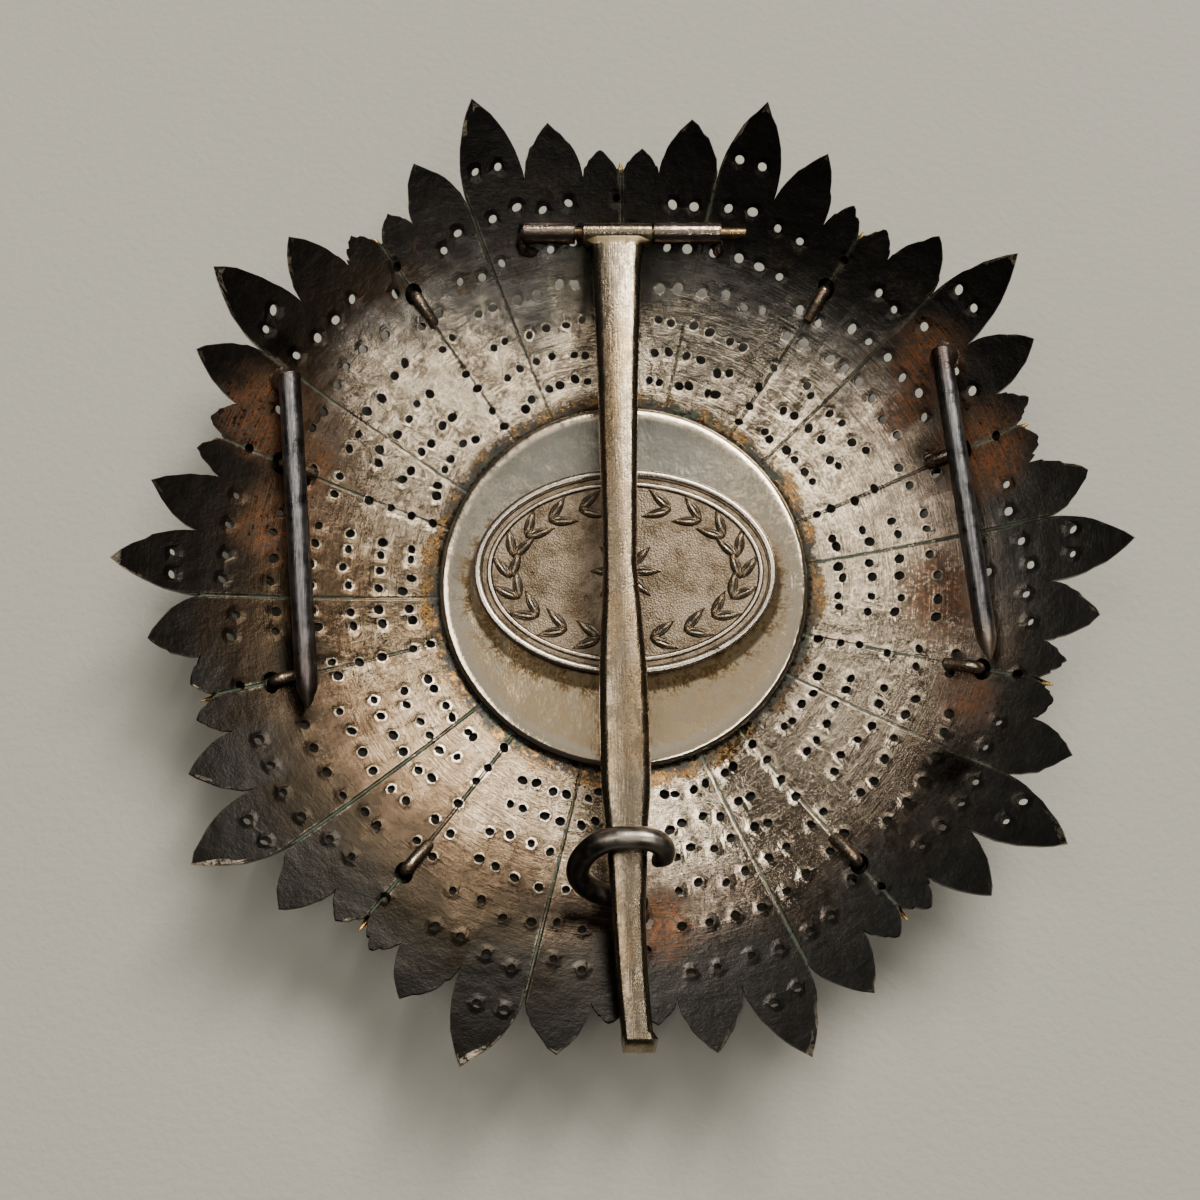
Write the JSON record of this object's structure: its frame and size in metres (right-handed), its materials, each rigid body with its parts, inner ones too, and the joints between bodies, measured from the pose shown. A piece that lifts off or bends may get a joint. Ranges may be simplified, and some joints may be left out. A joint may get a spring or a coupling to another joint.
{
  "type": "breast star",
  "caption": "Silver breast star lying face down: a pierced, dished plate of pointed rays with a hinged bar pin in a wire catch and two steadying prongs.",
  "frame": {"origin": "middle of the star's outline, on the surface that the front medallion's rim rests on", "axes": "+Y to the hinge at the top of the star, +X to the right as the back is seen, +Z out of the hollow back"},
  "size_m": [0.0834, 0.0804, 0.0167],
  "materials": {
    "silver_plate": "hand-finished silver, bright in the bowl and toned blue-black at the rays",
    "polished_silver": "polished silver with fine scratches",
    "toned_silver": "stippled ground with brown toning",
    "silver_fittings": "soldered silver tube, dull",
    "warm_silver": "worn silver with warm toning",
    "dark_wire": "dark drawn wire",
    "steel_wire": "dark smooth wire",
    "gilt": "worn gilding"
  },
  "bodies": {
    "star": {"star_plate": "silver_plate", "medallion": "silver_plate", "back_cover": "polished_silver", "oval_plaque": "toned_silver", "hinge_bracket_left": "silver_fittings", "hinge_bracket_right": "silver_fittings", "hinge_rod": "dark_wire", "catch_hook": "dark_wire", "prong_left": "steel_wire", "prong_right": "steel_wire", "valley_stud_01": "gilt", "valley_stud_02": "gilt", "valley_stud_03": "gilt", "valley_stud_04": "gilt", "valley_stud_05": "gilt", "valley_stud_06": "gilt", "valley_stud_07": "gilt", "valley_stud_08": "gilt", "valley_stud_09": "gilt", "valley_stud_10": "gilt"},
    "pin": {"main_pin": "warm_silver"}
  },
  "joints": [
    {"name": "pin_hinge", "type": "hinge", "parent": "star", "child": "pin", "pos_m": [-0.0006, 0.0299, 0.01128], "axis": [-1, 0, 0], "range_deg": [0, 0.6]}
  ]
}
